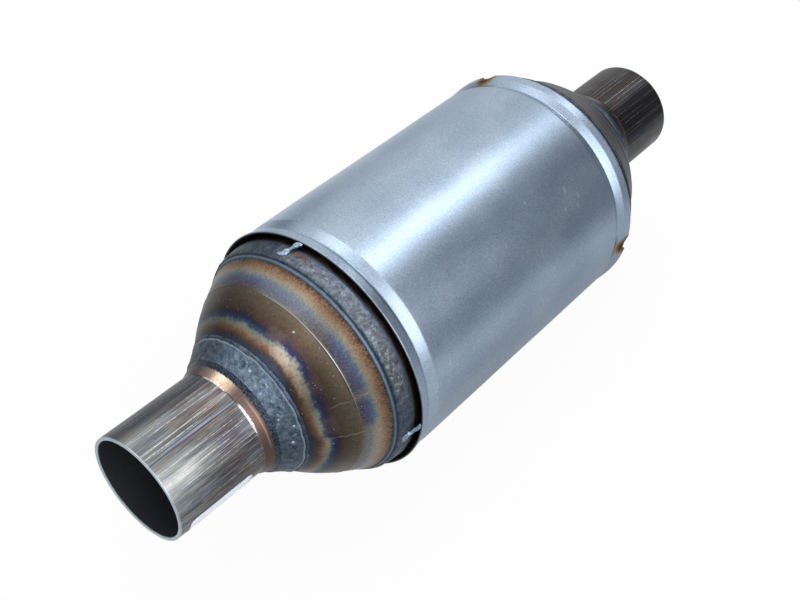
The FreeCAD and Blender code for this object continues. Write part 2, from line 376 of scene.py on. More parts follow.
def set_stops(ramp, stops):
    """Puts (share, linear colour) stops on a colour ramp, whose first two stops are at 0 and 1."""
    for place, colour in stops:
        at_end = place in (0, 1)
        element = ramp.elements[0 if place == 0 else -1] if at_end else ramp.elements.new(place)
        element.color = colour


def linear(colour):
    """Linear colour of three display levels, or of a grey; a Wire or a linear colour stays as it is."""
    if isinstance(colour, (int, float)):
        return (colour, colour, colour, 1)
    if isinstance(colour, Wire) or len(colour) == 4:
        return colour
    shares = [level / 255 for level in colour]
    return (*(s / 12.92 if s <= 0.04045 else ((s + 0.055) / 1.055) ** 2.4 for s in shares), 1)


def mix(share, first, second):
    """Colour between first and second; share may be a Wire or a number."""
    wire = next(value for value in (share, first, second) if isinstance(value, Wire))
    return wire.node("Mix", {"data_type": "RGBA"}, {0: share, 6: linear(first), 7: linear(second)}, output=2)


def coats(colour, layers):
    """Colour under coats (share, colour), laid on in turn."""
    for share, coat in layers:
        colour = mix(share, colour, coat)
    return colour


def shade(colour, amount):
    """Colour times an amount."""
    return colour.node("VectorMath", {"operation": "SCALE"}, {0: colour, "Scale": amount})


class Finish:
    """A material with its places on the converter: xyz in metres, x, h and r in mm, angle in degrees."""

    def __init__(self, name):
        """Starts an empty material, and undoes the settling and the lean of in_space."""
        self.material = bpy.data.materials.new(name)
        self.material.use_nodes = True
        self.material.node_tree.nodes.clear()
        self.start = Wire(self.material.node_tree)
        self.xyz = self.start.node("TexCoord", {}, {}, output="Object")
        split = self.xyz.split()
        self.x = split[0] * METRE - body_x
        drawn_in = self.x.step(SETTLE_FROM, SETTLE_FROM + 3) * self.x.step(pipe_tip, pipe_tip - SETTLE_FADE)
        self.h = abs(self.x) + drawn_in * SETTLE
        over = (0 - self.x - LEAN_FROM).most(0)
        y, z = split[1] * METRE - over * LEAN[0], split[2] * METRE - over * LEAN[1]
        self.r = y.hypot(z)
        self.angle = y.math("ARCTAN2", 0 - y, z) * (180 / math.pi)

    def grain(self, size, detail=2.0, seed=0.0, rough=0.5):
        """Noise from 0 to 1 in lumps of size mm, or of size (x, y, z) mm; seed moves it sideways."""
        scale = (METRE / np.broadcast_to(size, 3)).tolist()
        moved = self.xyz.node("VectorMath", {"operation": "MULTIPLY"}, {0: self.xyz, 1: scale})
        moved = moved.node("VectorMath", {"operation": "ADD"}, {0: moved, 1: (seed, seed * 1.7, seed * 2.3)})
        inputs = {"Vector": moved, "Scale": 1.0, "Detail": detail, "Roughness": rough}
        return moved.node("TexNoise", {}, inputs)

    def attribute(self, name):
        """Number that mark stored on the piece."""
        return self.start.node("Attribute", {"attribute_name": name}, {}, output="Fac")

    def off(self, h, angle, share):
        """Distance from a place (h, angle), in which the squared angle counts by a share."""
        along, round_it = self.h - h, self.angle - angle
        return along.math("SQRT", along * along + round_it * round_it * share)

    def surface(self, colour, metallic, roughness, height, depth):
        """Ends the material with one principled shader, whose bumps are height times depth mm."""
        normal = height.node("Bump", {}, {"Height": height, "Distance": depth / METRE, "Strength": 1.0})
        shader = self.start.node("BsdfPrincipled", {}, {
            "Base Color": colour, "Metallic": metallic, "Roughness": roughness, "Normal": normal})
        self.start.node("OutputMaterial", {}, {"Surface": shader})
        return self.material


# ---------------------------------------------------------------- finishes
# bright scores along a pipe: angle, then the nearest and farthest distance from the tip
SCORES = ((-6, 16, 38), (-1, 8, 36), (15.5, 1, 44), (4, 14, 44), (20.5, 3, 24), (38, 2, 36), (44.5, 20, 40),
          (50, 4, 30), (60, 1, 44), (64, 24, 40), (86, 22, 42), (-24, 12, 36))
# glints on the pipe bead: h, angle and size
GLINTS = ((126.9, 11, 0.5), (125.8, 33.5, 0.55), (126.2, 17, 0.35), (128.2, 57, 0.45), (128.6, 60, 0.3),
          (127.6, 45, 0.3), (124.6, 70, 0.3), (126.5, 84, 0.35))
# slanting nicks in the shield: x, angle and half length in degrees
NICKS = ((41, 47.5, 1.3), (47, 53, 0.8), (36, 55, 0.7), (44.5, 57, 0.9), (16, 41, 0.6))


def tube_grey_and_shading(at, from_tip, broad, far):
    """The tube's grey, with painted light and shade by angle in stripes along it, painted brighter towards
    the inlet's tip, and one side painted blue-grey.
    """
    angle = at.angle
    if far:
        colour = broad.ramp((0.3, (58, 56, 57)), (0.5, (76, 75, 77)), (0.7, (98, 96, 96)))
        # painted light and shade by angle
        tube_shading = angle.ramp(
            (-180, 0.9), (-30, 1.0), (-10, 0.95), (4, 0.62), (16, 0.62), (30, 1.0), (50, 0.7), (70, 1.1),
            (90, 1.05), (110, 1.4), (130, 1.0), (180, 0.9))
        return shade(colour, tube_shading * 1.05)
    colour = broad.ramp(
        (0.3, (104, 107, 110)), (0.45, (130, 133, 134)), (0.55, (146, 149, 148)), (0.7, (168, 170, 166)))
    # painted light and shade by angle
    tube_shading = angle.ramp(
        (-180, 0.5), (-45, 0.5), (-20, 0.46), (-8, 0.95), (0, 1.1), (10, 0.62), (20, 0.52), (30, 0.8),
        (40, 0.6), (52, 0.74), (70, 0.62), (84, 0.44), (102, 0.34), (180, 0.44))
    # painted extra light towards the tip, with painted shade dips at some angles
    tip_light_share = 0.2 + angle.window(38, 130, 5) * (1.05 + angle.step(74, 88) * 0.15)
    tip_shade_dips = angle.window(8, 21, 4) * 0.24 + angle.window(37, 43, 4) * 0.2
    painted_tip_gain = 1 + from_tip.step(26, 8) * tip_light_share - from_tip.window(22, 33, 5) * tip_shade_dips
    # one side painted blue-grey, as a painted reflection
    return mix(angle.window(-90, -22, 12) * 0.4, shade(colour, tube_shading * painted_tip_gain), (78, 94, 108))


def flare_copper_and_highlights(at, before_flare, lines, blotch, far):
    """Copper film on the flare, with a painted highlight where it faces up, and a painted pink highlight line
    below its bend.
    """
    angle = at.angle
    # copper film by angle, painted pale where it faces up as its highlight
    copper = angle.ramp(
        (-180, (84, 70, 66)), (-30, (84, 76, 76)), (-12, (150, 132, 120)), (2, (232, 208, 184)),
        (12, (190, 164, 146)), (22, (120, 104, 100)), (28, (112, 98, 96)), (44, (120, 98, 90)),
        (62, (104, 84, 76)), (180, (84, 70, 66)))
    copper = mix(blotch.step(0.45, 0.8) * 0.4, copper, (116, 92, 80))
    # painted highlight where it faces up
    copper = shade(copper, 1 + angle.window(-3, 11, 8) * 0.7)
    # a painted pink highlight line a little way down the flare
    pink_highlight_line = before_flare.band(-3.1, 0.15, 0.3) * angle.window(36, 76, 10)
    copper = coats(copper, [(lines.step(0.48, 0.32) * 0.5, (66, 52, 48)), (pink_highlight_line * 0.3, (206, 180, 162))])
    if far:
        copper = mix(0.85, copper, (52, 44, 42))
    return copper


def pipe_metal(side):
    """Drawn tube: draw lines, bright scores, a seam line, a brown film, a pale cut edge, and a bore painted
    dark as its shade.
    """
    at = Finish(side + "_pipe_metal")
    far = side == "outlet"
    angle = at.angle
    flare_h, tip = pipe_run(side)
    from_tip, before_flare = tip - at.h, at.h - flare_h
    broad = at.grain((60, 5, 5), detail=3, seed=1 + far)
    lines = at.grain((120, 0.6, 0.6), detail=4, seed=4 + far, rough=0.7)
    fine = at.grain((20, 0.3, 0.3), detail=3, seed=9)
    hair = at.grain((80, 0.26, 0.26), detail=3, seed=29, rough=0.6)
    warm = at.grain((16, 3.5, 3.5), detail=3, seed=37)
    blotch = at.grain((9, 6, 6), detail=4, seed=3)
    colour = tube_grey_and_shading(at, from_tip, broad, far)
    # stains, draw lines and scores over the whole tube
    stained = before_flare.window(-2, 14, 16) * blotch.step(0.3, 0.6)
    dulled = at.grain((22, 2.2, 2.2), detail=4, seed=23, rough=0.65).step(0.46, 0.62)
    dulled = dulled * (1 - angle.window(-12, 58, 8) * 0.55) * from_tip.step(2, 16)
    tinted = before_flare.window(1, 14, 8) * angle.window(40, 72, 8) * broad.step(0.4, 0.6)
    scores = reduce(Wire.most, [angle.band(place, 0.08, 0.26) * from_tip.window(first, last, 7)
                                for place, first, last in SCORES])
    dashes = 0.3 + 0.7 * at.grain((1.1, 0.5, 0.5), detail=2, seed=17).step(0.42, 0.58)
    off_seam = angle - SEAM_ANGLE + 0.8
    colour = coats(colour, [
        (stained * 0.7, (62, 50, 46) if far else (104, 88, 84)),
        (dulled * 0.6, (58, 62, 68) if far else (70, 74, 80)),
        (tinted * 0.5, (76, 78, 104)),
        (warm.step(0.52, 0.72) * 0.45, (70, 56, 48) if far else (146, 126, 108)),
        (warm.step(0.46, 0.28) * 0.45, (50, 56, 68) if far else (94, 108, 126)),
        (lines.step(0.47, 0.30) * 0.75, (44, 44, 48)),
        (lines.step(0.56, 0.76) * (0.06 if far else 0.6), (214, 214, 208)),
        (hair.step(0.48, 0.34) * 0.45, (36, 38, 44)),
        (hair.step(0.53, 0.68) * (0.08 if far else 0.4), (224, 226, 222)),
        (scores * dashes * (0.4 if far else 0.9), (236, 240, 240)),
        (off_seam.band(0, 2.6, 1.5) * 0.35, (96, 98, 108))])
    # a painted highlight beside the seam, then the seam's blue and brown heat tints
    if not far:
        colour = coats(colour, [
            (off_seam.window(-2.2, -0.9, 0.6) * hair.step(0.4, 0.6) * 0.55, (166, 178, 188)),
            (off_seam.window(-0.4, 0.0, 0.35) * from_tip.window(18, 28, 10) * 0.6, (80, 98, 150)),
            (off_seam.window(1.4, 2.6, 0.9) * from_tip.window(16, 34, 8) * 0.32, (150, 104, 66))])
    # two dark lines along the seam, and a painted shadow line along the bend at some angles
    bend_shadow_angles = angle.window(-40, -14, 8).most(angle.window(12, 32, 2))
    colour = coats(colour, [
        (off_seam.window(-2.8, -2.6, 0.3) * 0.5, (54, 56, 62)),
        (off_seam.window(0.45, 0.8, 0.35) * 0.85, (44, 42, 46)),
        (before_flare.band(0, 0.1, 0.3) * bend_shadow_angles * 0.7, (40, 42, 50))])
    # the flare's copper film with its painted highlights, a painted highlight with ragged scuffs along the
    # bend, and smoke at the bead
    ragged = at.grain((0.9, 0.7, 0.7), detail=4, seed=6, rough=0.65)
    thick = 0.12 + angle.window(34, 54, 6) * 0.3
    bend_highlight_and_scuff = (before_flare + (ragged - 0.5) * 0.9).band(0, thick, 0.25) * ragged.step(0.34, 0.56)
    bend_highlight_and_scuff = bend_highlight_and_scuff * (angle.window(-14, 11, 4) + angle.window(33, 60, 5) * 0.8)
    grit = at.grain(0.7, detail=3, seed=13)
    smoke = (before_flare + grit * 1.2).window(-60, -3.9, 0.5)
    # the bore is painted dark, as its shade
    inside = at.attribute("inside")
    colour = coats(colour, [
        (before_flare.window(-60, -0.4, 0.4), flare_copper_and_highlights(at, before_flare, lines, blotch, far)),
        (bend_highlight_and_scuff * (0.3 if far else 0.95), (240, 244, 246)),
        (smoke, mix(grit.step(0.35, 0.65), (34, 40, 50), (74, 84, 98))),
        (from_tip.step(0.75, 0.3), mix(blotch, (160, 176, 190), (206, 216, 224))),
        (inside * from_tip.step(0.3, 0.9), mix(grit, (22, 26, 34), (50, 54, 60)))])
    height = lines * 0.7 + broad + fine * 0.3 + smoke * grit * 3 - abs(off_seam).window(1.0, 1.7, 0.5) * 0.6
    roughness = 0.27 + fine * 0.1 + blotch * 0.08 + inside * 0.3
    return at.surface(colour, 1 - inside * 0.6, roughness, height, 0.06)


def bowl_rings(at, waves, ragged):
    """Temper colours of the bowl: each ring is vivid only in places, as the bead was laid in short runs, and
    a cream run carries a painted highlight.
    """
    h, angle = at.h, at.angle
    licks = at.grain((5, 1.3, 1.3), detail=4, seed=17, rough=0.6)
    hot = angle.ramp(
        (-180, 0.5), (-60, 0.3), (-30, 0.35), (-12, 0.5), (4, 0.4), (14, 0.5), (20, 1.0), (30, 1.0),
        (44, 0.9), (54, 0.5), (62, 0.45), (70, 0.8), (82, 0.75), (86, 0.2), (89, 0.85), (104, 0.6),
        (120, 0.5), (180, 0.5))
    push = angle.ramp(
        (-180, 0.5), (-20, 0.5), (8, 0.5), (20, 0.7), (32, 0.7), (42, 0.5), (60, 0.1), (84, 0.25), (88, 0.7),
        (120, 0.5), (180, 0.5))
    ring = h + (push - 0.45) * 3.2 + (waves - 0.5) * 2.2 + (ragged - 0.5) * 1.4 + (licks - 0.5) * 2.0
    vivid = ring.ramp(
        (103.8, (128, 118, 102)), (108.5, (116, 100, 86)), (111.8, (98, 78, 72)), (112.7, (68, 58, 88)),
        (113.8, (50, 66, 122)), (115.0, (92, 126, 154)), (115.9, (206, 214, 202)), (116.9, (220, 200, 168)),
        (118.0, (166, 124, 98)), (119.4, (112, 88, 80)), (120.3, (78, 84, 100)), (124, (72, 88, 108)))
    dull = ring.ramp(
        (103.8, (124, 114, 98)), (108.5, (110, 96, 82)), (111.8, (88, 74, 68)), (113.2, (60, 58, 70)),
        (114.6, (60, 74, 92)), (115.8, (98, 108, 108)), (116.9, (130, 122, 106)), (118.0, (132, 108, 88)),
        (119.3, (92, 76, 70)), (120.3, (66, 72, 86)), (124, (64, 80, 100)))
    gaps = angle.window(13, 18, 6).most(angle.window(47, 52, 5) * 0.7).most(angle.window(74, 82, 5) * 0.8)
    # a cream run of temper colour with a painted highlight on it
    cream_run_and_highlight = angle.window(23, 33, 8) * ring.window(115.0, 118.2, 1.4)
    cream_run_and_highlight = cream_run_and_highlight.most(angle.window(36, 50, 8) * ring.window(115.4, 117.8, 1.0) * 0.75)
    return coats(mix(hot * (0.55 + 0.9 * (licks - 0.3)), dull, vivid), [
        (gaps * ring.window(111.4, 114.4, 1.2) * 0.65, (122, 104, 94)),
        (angle.window(14, 70, 14) * ring.window(111.6, 114.2, 1.0) * 0.15, (112, 104, 128)),
        (cream_run_and_highlight * (0.1 + 0.9 * licks), (214, 202, 184))])


def shoulder_patches(at, waves, ragged):
    """Temper colours of the shoulder: tan, with blue in patches."""
    h, angle = at.h, at.angle
    patches = angle.ramp(
        (-180, 0.5), (-60, 0.6), (-25, 0.9), (-12, 1.0), (4, 1.0), (20, 0.7), (30, 0.4), (38, 1.0), (62, 1.0),
        (64, 0.45), (68, 0.5), (70, 1.0), (82, 1.0), (85, 0.15), (105, 0.15), (125, 0.5), (180, 0.5))
    edge = h + (ragged - 0.5) * 3.0 * h.step(95, 98) + (ragged - 0.5) * 0.8 + (waves - 0.5) * 1.8
    tan = edge.ramp(
        (91, (60, 56, 60)), (92.6, (80, 58, 50)), (93.6, (140, 100, 76)), (95.2, (182, 148, 120)),
        (97.4, (212, 192, 166)), (99.0, (196, 192, 178)), (101, (160, 158, 150)), (104, (148, 140, 124)))
    blue = edge.ramp(
        (91, (60, 56, 60)), (92.6, (80, 58, 50)), (93.6, (148, 106, 78)), (95.2, (182, 148, 118)),
        (97.0, (204, 188, 164)), (98.1, (128, 168, 182)), (99.1, (62, 122, 180)), (100.4, (42, 80, 154)),
        (102.2, (54, 62, 122)), (103.9, (84, 82, 104)))
    blue = mix(angle.window(-4, 22, 12) * h.window(98.5, 104, 1) * 0.55, blue, (150, 168, 190))
    streaks = at.grain((16, 0.6, 0.6), detail=3, seed=8).step(0.42, 0.6)
    drawn = at.grain((12, 0.5, 0.5), detail=3, seed=31).step(0.5, 0.35)
    return coats(mix(patches * (0.7 + 0.3 * streaks), tan, blue), [
        (streaks * 0.28, (222, 206, 184)), (drawn * 0.35, (96, 70, 56))])


def cone_metal(side):
    """Pressed cap with temper colours that run in rings away from both beads."""
    at = Finish(side + "_cone_metal")
    far = side == "outlet"
    h, angle = at.h, at.angle
    waves = at.grain(7, detail=3, seed=2 + far)
    ragged = at.grain((6, 0.9, 0.9), detail=3, seed=7)
    blotch = at.grain(11, detail=3, seed=5)
    # the shoulder and the bowl meet at the crease, each with its own painted light and shade by angle
    shoulder, bowl = shoulder_patches(at, waves, ragged), bowl_rings(at, waves, ragged)
    soft = angle.step(4, -14).most(angle.step(78, 96)) * 1.8
    on_bowl = (h + (ragged - 0.5) * soft).step(crease_h - 0.2 - soft, crease_h + 0.2 + soft)
    # painted light and shade by angle, for the bowl and then the shoulder
    bowl_shading = angle.ramp(
        (-180, 0.4), (-60, 0.36), (-28, 0.28), (-15, 0.4), (0, 0.63), (15, 0.8), (27, 1.0), (36, 0.68),
        (45, 0.42), (60, 0.38), (75, 0.5), (90, 0.46), (120, 0.4), (180, 0.4))
    shoulder_shading = angle.ramp(
        (-180, 0.4), (-30, 0.33), (-15, 0.48), (0, 0.52), (15, 0.64), (28, 0.4), (45, 0.3), (62, 0.27),
        (75, 0.4), (90, 0.48), (120, 0.44), (180, 0.4))
    colour = mix(on_bowl, shade(shoulder, shoulder_shading * 1.25), shade(bowl, bowl_shading * 1.25))
    if far:
        colour = coats(colour, [
            (h.window(92.5, 140, 1.2) * 0.85, (48, 56, 68)),
            (h.window(90.3, 92.3, 0.5) * (0.6 + 0.5 * waves), (158, 102, 62))])
    haze = at.grain(1.2, detail=4, seed=27, rough=0.7)
    specks = at.grain(0.7, detail=1, seed=12).step(0.75, 0.79)
    # a painted highlight along the crease, strongest between 24 and 44 degrees
    crease = (h - crease_h).band(0.35, 0.06, 0.1) * angle.ramp(
        (-10, 0), (0, 0.45), (14, 0.6), (24, 1), (44, 1), (56, 0.4), (84, 0))
    folds = (angle + (waves - 0.5) * 6).band(66, 0.2, 0.3) * h.window(99, 111, 2) * 0.6
    folds = folds + (angle + (waves - 0.5) * 5).band(87, 0.2, 0.3) * h.window(104, 117, 2)
    inside = at.attribute("inside")
    colour = coats(colour, [
        (blotch.step(0.55, 0.8) * 0.25, (70, 60, 50)),
        (haze.step(0.5, 0.36) * 0.35 * on_bowl, (48, 42, 36)),
        (specks * 0.6, (222, 220, 212)),
        # a painted glint on the bowl
        (at.off(108, 21, 0.4).step(0.55, 0.2) * 0.85, (226, 234, 240)),
        (crease * 0.75, (220, 232, 244)),
        (folds * 0.2, (196, 190, 172)),
        (inside, (52, 48, 44))])
    height = ragged * 0.5 + waves * 1.5 + specks * 0.6 - folds * 0.8
    roughness = 0.32 + blotch * 0.12 - crease * 0.2 + inside * 0.3
    return at.surface(colour, 1 - inside * 0.5, roughness, height, 0.05)


def weld_metal(name, dross_window=None, level=1.0, trail=None, rope=None, gloss=0.0):
    """Oxidised bead: dark blue-grey and granular.

    Windows of h add pale dross, or a smooth dark trail with a bright edge; rope is the h of a pale ridge with
    a painted highlight line and a painted shadow line in the groove beside it.
    level scales the painted light and shade by angle, for lighter and darker copies.
    """
    at = Finish(name)
    h, angle = at.h, at.angle
    grit = at.grain(0.7, detail=4, seed=1, rough=0.65)
    lumps = at.grain(2.6, detail=5, seed=5, rough=0.65)
    cloud = at.grain(9, detail=2, seed=8)
    colour = coats(lumps.ramp((0.3, (58, 72, 86)), (0.5, (92, 108, 124)), (0.7, (124, 142, 158))), [
        (grit.step(0.56, 0.72) * 0.5, (186, 200, 212)),
        (grit.step(0.47, 0.3) * 0.65, (34, 42, 52)),
        (cloud.step(0.55, 0.75) * 0.2, (104, 96, 94))])
    # painted light and shade by angle, scaled by level
    film = angle.ramp(
        (-180, 0.42), (-60, 0.36), (-30, 0.36), (-14, 0.5), (0, 0.8), (30, 1.0), (45, 0.74), (60, 0.5),
        (75, 0.46), (90, 0.44), (180, 0.42))
    colour = shade(colour, film * (1.5 * level))
    if dross_window:
        where = h.window(*dross_window, 1.4) * angle.window(-4, 72, 12)
        flecks = at.grain((1.8, 1.5, 1.5), detail=4, seed=14, rough=0.65)
        colour = coats(colour, [
            (where * 0.3, (124, 116, 116)),
            (where * flecks.step(0.53, 0.66) * 0.5, (178, 182, 180)),
            (where * flecks.step(0.46, 0.34) * 0.7, (46, 48, 58))])
        for tack in TACK_ANGLES["inlet"]:
            singed = abs(angle - tack - 6).step(9, 2) * h.window(0, dross_window[0] + 0.5, 1)
            colour = mix(singed * (0.3 + 0.6 * lumps), colour, (104, 70, 46))
    if trail:
        first, last = trail
        for place, turn, size in GLINTS:
            glint = at.off(place, turn, 0.2).step(size + 0.25, size) * lumps.step(0.4, 0.6)
            colour = mix(glint * 0.75, colour, (206, 218, 228))
        swayed = h + (at.grain(7, detail=2, seed=35) - 0.5) * 0.9
        colour = coats(colour, [
            (swayed.window(first - 4, last, 0.2) * 0.75, shade(colour, 0.62)),
            (swayed.band(last, 0.06, 0.14) * 0.8, (20, 24, 32)),
            (swayed.band(last + 0.5, 0.12, 0.24) * 0.6, (150, 170, 190))])
    # the rope: a pale ridge, a painted highlight line along it and a painted shadow line in the groove beside
    # it
    if rope:
        colour = coats(colour, [
            (h.window(rope - 0.9, rope + 0.7, 0.2) * 0.5, (80, 95, 114)),
            (h.band(rope, 0.12, 0.4) * 0.3, (140, 158, 182)),
            (h.band(rope - 1.1, 0.1, 0.25) * 0.7, (28, 36, 50))])
    return at.surface(colour, 0.85, 0.36 - gloss + grit * 0.22, grit * 0.6 + lumps * 0.6, 0.12)


def scorched(at, colour, stain, cloud):
    """Colour with scorch round each outlet tack, and a brown line seeped along the groove."""
    x, angle = at.x, at.angle
    spots = []
    for tack in TACK_ANGLES["outlet"]:
        across = (angle - tack) * (math.pi / 180 * lip_r)
        off = across.hypot((x - shield_half + 1.0) * 0.8) + (stain - 0.5) * 1.2 + (cloud - 0.5) * 5
        spots.append(off.step(7.8, 0.8))
        seeped = abs(angle - tack).step(11, 2) * abs(x - shield_half + 9.0).step(1.3, 0.3)
        colour = mix(seeped * 0.7, colour, (104, 80, 54))
    scorch = reduce(Wire.most, spots)
    burnt = scorch.ramp(
        (0.0, (180, 176, 156)), (0.35, (164, 142, 100)), (0.6, (136, 94, 50)), (0.8, (80, 52, 34)),
        (0.92, (46, 38, 40)), (1.0, (60, 66, 80)))
    return mix(scorch.step(0.05, 0.45), colour, burnt)


def shield_metal():
    """Aluminised sheet: satin blue-grey with a fine speckle, light scratches, scorch at the notches, and
    painted shade at the inlet lip, along the top and on the inner face.
    """
    at = Finish("shield_metal")
    x, angle = at.x, at.angle
    speckle = at.grain((0.9, 0.45, 0.45), detail=3, seed=2, rough=0.7)
    brushed = at.grain((0.5, 6, 6), detail=3, seed=6, rough=0.6)
    cloud = at.grain((26, 18, 18), detail=3, seed=9)
    stain = at.grain(1.6, detail=4, seed=15, rough=0.7).step(0.60, 0.72)
    lip = at.h.step(72.5, 74)
    near_inlet = (0 - x).window(54, 70, 6) * angle.window(6, 40, 8)
    pits = at.grain(0.9, detail=1, seed=31).step(0.76, 0.80) * (0.15 + lip * 0.75 + near_inlet * 0.6)
    edge = x.step(shield_half - 1.4, shield_half - 0.4)
    colour = cloud.ramp((0.3, (162, 181, 201)), (0.5, (170, 188, 207)), (0.7, (180, 197, 214)))
    colour = coats(colour, [
        (speckle.step(0.50, 0.72) * 0.6, (214, 228, 242)),
        (speckle.step(0.50, 0.28) * 0.6, (118, 134, 158)),
        (lip * stain * 0.5, (112, 106, 98)),
        (pits, (52, 48, 46)),
        (edge * stain * 0.8, (70, 58, 48))])
    for place, turn, half in NICKS:
        nick = (x + (angle - turn) * 0.25).band(place, 0.12, 0.2)
        colour = mix(nick * angle.band(turn, half, 0.4), colour, (240, 244, 248))
    # painted shade near the inlet lip, and the top painted darker towards the outlet; dark flecks near the
    # lip below
    near_lip_shade_and_flecks = x.window(-shield_half - 1, 5.5 - shield_half, 1.5) * angle.window(10, 36, 9)
    colour = shade(colour, 1 - near_lip_shade_and_flecks * 0.16 - x.step(-20, 60) * angle.window(2, 28, 10) * 0.12)
    scratch = at.grain((0.5, 7, 7), detail=1, seed=40).step(0.72, 0.76) * cloud.step(0.55, 0.65)
    colour = coats(colour, [
        (near_lip_shade_and_flecks * speckle.step(0.52, 0.36) * 0.4, (96, 106, 120)),
        (scratch * 0.6, (236, 240, 244))])
    # the inner face and the inlet rim's edge are painted dark, as their shade with some scorch
    inside = at.attribute("inside")
    colour = mix(inside * 0.8, scorched(at, colour, stain, cloud), (70, 66, 64))
    roughness = 0.27 + speckle * 0.1 + lip * 0.04 + inside * 0.2 + cloud * 0.04
    return at.surface(colour, 1.0, roughness, speckle * 0.5 + brushed * 0.25 - pits * 2.5, 0.02)


def can_metal():
    """Rolled steel between the bead and the shield, brown from the weld's heat and painted very dark as the
    shadow under the shield's rim.
    """
    at = Finish("can_metal")
    mottle = at.grain((2.5, 6, 6), detail=4, seed=3)
    # very dark brown: heat tint with painted shadow
    colour = coats(mottle.ramp((0.3, (26, 20, 18)), (0.55, (48, 34, 28)), (0.75, (78, 58, 48))), [
        (at.h.step(shield_half + 0.8, shield_half + 2.2), (66, 78, 94)),
        (at.h.step(shield_half - 4, shield_half - 12), (120, 120, 122))])
    return at.surface(colour, 0.9, 0.45 + mottle * 0.1, mottle, 0.05)


def fibre():
    """Pressed mineral wool mat."""
    at = Finish("mat_fibre")
    strands = at.grain((6, 0.5, 0.5), detail=4, seed=2, rough=0.7)
    return at.surface(strands.ramp((0.3, (186, 180, 164)), (0.6, (222, 218, 206))), 0, 0.92, strands, 0.3)


def ceramic():
    """Washcoated honeycomb, matt tan with darker patches, and hollow cells in its end faces, painted dark as
    their shade.
    """
    at = Finish("catalyst_ceramic")
    mottle = at.grain(14, detail=4, seed=2)
    dust = at.grain(0.6, detail=3, seed=6)
    across = [abs((part * (METRE / CELL_PITCH)).math("FRACT") - 0.5) for part in at.xyz.split()[1:]]
    # the hollow cells are painted dark, as their shade
    hollow = across[0].most(across[1]).step(0.42, 0.36) * at.h.step(brick_half - 0.5, brick_half - 0.1)
    colour = coats(mottle.ramp((0.3, (150, 132, 104)), (0.7, (188, 170, 138))), [
        (dust.step(0.5, 0.75) * 0.4, (206, 194, 168)), (hollow * 0.9, (30, 26, 22))])
    return at.surface(colour, 0, 0.85, dust - hollow * 4, 0.05)


def label_film():
    """Blank white film with a faint sheen and a dusty mottle."""
    at = Finish("label_film")
    dust = at.grain(3, detail=4, seed=2)
    return at.surface(dust.ramp((0.3, (214, 224, 236)), (0.7, (232, 238, 246))), 0, 0.35, dust, 0.02)


# ---------------------------------------------------------------- pipes, cones and beads
# craters and drops (negative) in a pipe bead: h, angle, radius and depth
CRATERS = ((126.6, 9, 1.5, 1.1), (127.2, 2, 0.8, 0.5), (125.6, 13, 0.9, 0.6), (125.7, 31, 0.9, -0.5),
           (127.0, 24, 0.7, 0.4), (126.8, 52, 0.7, 0.5), (127.3, 56, 0.6, -0.4), (124.6, 47, 0.6, 0.35),
           (127.6, -14, 0.9, 0.4), (125.2, -22, 1.0, 0.45), (124.8, 77, 0.8, 0.35), (127.2, 88, 1.0, 0.4),
           (125.5, 140, 1.2, 0.4), (126.5, 200, 1.0, 0.4), (124.6, 260, 1.1, 0.35))
# ripples in one turn of a pipe bead
BEAD_RIPPLES = 74


def bump_at(value, middle, width):
    """Bell of height 1 at middle: exp(-(d / width)^2) of the distance d."""
    return np.exp(-((value - middle) / width) ** 2)


def angle_gap(angle, middle):
    """Distance between two angles, in degrees, the short way round."""
    return np.abs((angle - middle + 180) % 360 - 180)


def mark(piece, name, values):
    """Stores one number for each point of a piece, for its material to read."""
    field = piece.data.attributes.new(name, "FLOAT", "POINT")
    field.data.foreach_set("value", np.asarray(values, np.float32).ravel())


def pipe_skin(side):
    """Tube with a rolled bend into its flare, a seam ridge and slightly uneven wall."""
    landing_h, _, flare_end_r = reach(side + "_pipe")
    flare_h, tip = pipe_run(side)
    landing_r = flare_end_r - pipe_wall * math.cos(FLARE_ANGLE)
    flare_end_h = landing_h + pipe_wall * math.sin(FLARE_ANGLE)
    bend_h = flare_h - pipe_wall * math.tan(FLARE_ANGLE / 2)
    section = outline([
        (tip, pipe_r, 0.3), (flare_h, pipe_r, 5.0), (flare_end_h, flare_end_r, 0.2),
        (landing_h, landing_r, 0.2), (bend_h, bore_r, 4.0), (tip, bore_r, 0.3)], step=4.0, arc_step=12)

    def uneven(grid):
        """Height of the seam's ridge and of long lumps in the wall, fading out at the tip."""
        seam = 0.07 * bump_at(angle_gap(grid[..., 2], SEAM_ANGLE), 0, 1.2)
        drawn = roughen(in_space(grid) * (0.25, 1, 1), 11, (0.06, 6))
        return (seam + drawn) * np.clip((tip - 0.6 - grid[..., 0]) / 3, 0, 1)

    around = ROUND[side]
    piece = add_turned(
        side + "_pipe", section, around, SIDES[side], pipe_metal(side), uneven)
    middle = (pipe_r + bore_r) / 2 + np.maximum(flare_h - section[:, 0], 0) * math.tan(FLARE_ANGLE)
    mark(piece, "inside", np.repeat(section[:, 1] < middle - 0.1, around))


